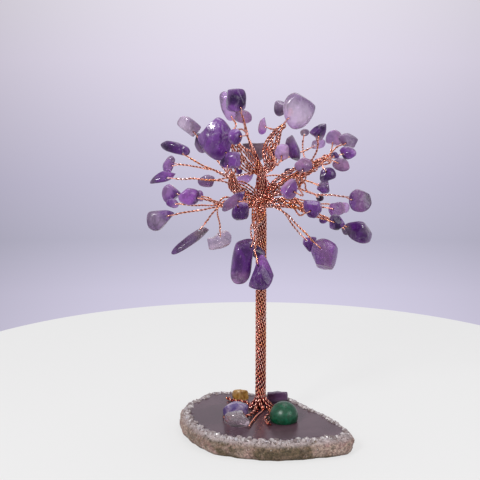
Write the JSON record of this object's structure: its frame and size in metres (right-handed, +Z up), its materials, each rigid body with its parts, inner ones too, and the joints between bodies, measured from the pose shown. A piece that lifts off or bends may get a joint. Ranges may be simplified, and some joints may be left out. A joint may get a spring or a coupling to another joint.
{
  "type": "gemstone tree ornament",
  "caption": "Ornamental tree of tumbled amethyst chips on twisted copper wire, with the wires spread as roots on a slice of agate that carries small polished stones.",
  "frame": {"origin": "where the trunk's axis meets the underside of the agate slice", "axes": "+Z up along the trunk, +X to the right of someone who faces the front, +Y away from them"},
  "size_m": [0.0832, 0.0705, 0.13],
  "materials": {
    "agate": "polished dark grey face, white crystal rim, rough pinkish brown side",
    "aventurine": "tumbled and polished, deep green",
    "sodalite": "tumbled, dusty blue with pale veins",
    "clear_quartz": "tumbled, clear with white veils",
    "citrine": "tumbled, translucent amber",
    "fluorite": "polished stick, green and violet bands",
    "amethyst_dark": "tumbled and polished, deep violet, nearly opaque",
    "amethyst_violet": "tumbled and polished, violet, clouded inside",
    "amethyst_pale": "tumbled, pale lavender, translucent with veils",
    "amethyst_grey": "tumbled, greyish lavender, translucent",
    "amethyst_clear": "tumbled, nearly colourless with cloudy veils",
    "copper_wire": "bright bare copper wire, a little tarnished in the twist"
  },
  "bodies": {
    "root": {"agate_slice": "agate", "aventurine_stone": "aventurine", "sodalite_stone": "sodalite", "quartz_stone": "clear_quartz", "citrine_stone": "citrine", "fluorite_stone": "fluorite", "top_cube_chip": "amethyst_dark", "upper_triangle_chip": "amethyst_dark", "half_moon_chip": "amethyst_dark", "shadow_chip": "amethyst_dark", "top_round_chip": "amethyst_dark", "long_indigo_chip": "amethyst_dark", "hanging_long_chip": "amethyst_dark", "hanging_slanted_chip": "amethyst_dark", "lower_dark_chip": "amethyst_dark", "right_dark_chip": "amethyst_dark", "right_inner_dark_chip": "amethyst_dark", "right_violet_chip": "amethyst_dark", "bright_square_chip": "amethyst_violet", "domed_chip": "amethyst_violet", "inner_left_chip": "amethyst_violet", "left_round_chip": "amethyst_violet", "left_bright_chip": "amethyst_violet", "hanging_drop_chip": "amethyst_violet", "inner_round_chip": "amethyst_violet", "lower_small_chip": "amethyst_violet", "right_purple_chip": "amethyst_violet", "right_triangle_chip": "amethyst_violet", "inner_violet_chip": "amethyst_violet", "top_pale_chip": "amethyst_pale", "top_loop_chip": "amethyst_pale", "top_leaf_chip": "amethyst_pale", "top_drop_chip": "amethyst_pale", "left_pale_chip": "amethyst_pale", "lower_heart_chip": "amethyst_pale", "right_lavender_chip": "amethyst_pale", "outer_grey_chip": "amethyst_grey", "smoky_chip": "amethyst_grey", "finger_chip": "amethyst_grey", "teardrop_chip": "amethyst_grey", "slender_chip": "amethyst_grey", "outer_round_chip": "amethyst_grey", "right_mauve_chip": "amethyst_grey", "right_grey_chip": "amethyst_grey", "inner_right_chip": "amethyst_grey", "left_pointed_chip": "amethyst_grey", "clear_chip": "amethyst_clear", "small_chips_upper": "amethyst_violet", "small_chips_left": "amethyst_grey", "small_chips_right": "amethyst_violet", "small_chips_back": "amethyst_pale", "core_cord": "copper_wire", "top_left_cord": "copper_wire", "top_right_cord": "copper_wire", "back_cord": "copper_wire", "left_upper_cord": "copper_wire", "left_lower_cord": "copper_wire", "front_cord": "copper_wire", "right_upper_cord": "copper_wire", "right_lower_cord": "copper_wire"}
  },
  "joints": []
}
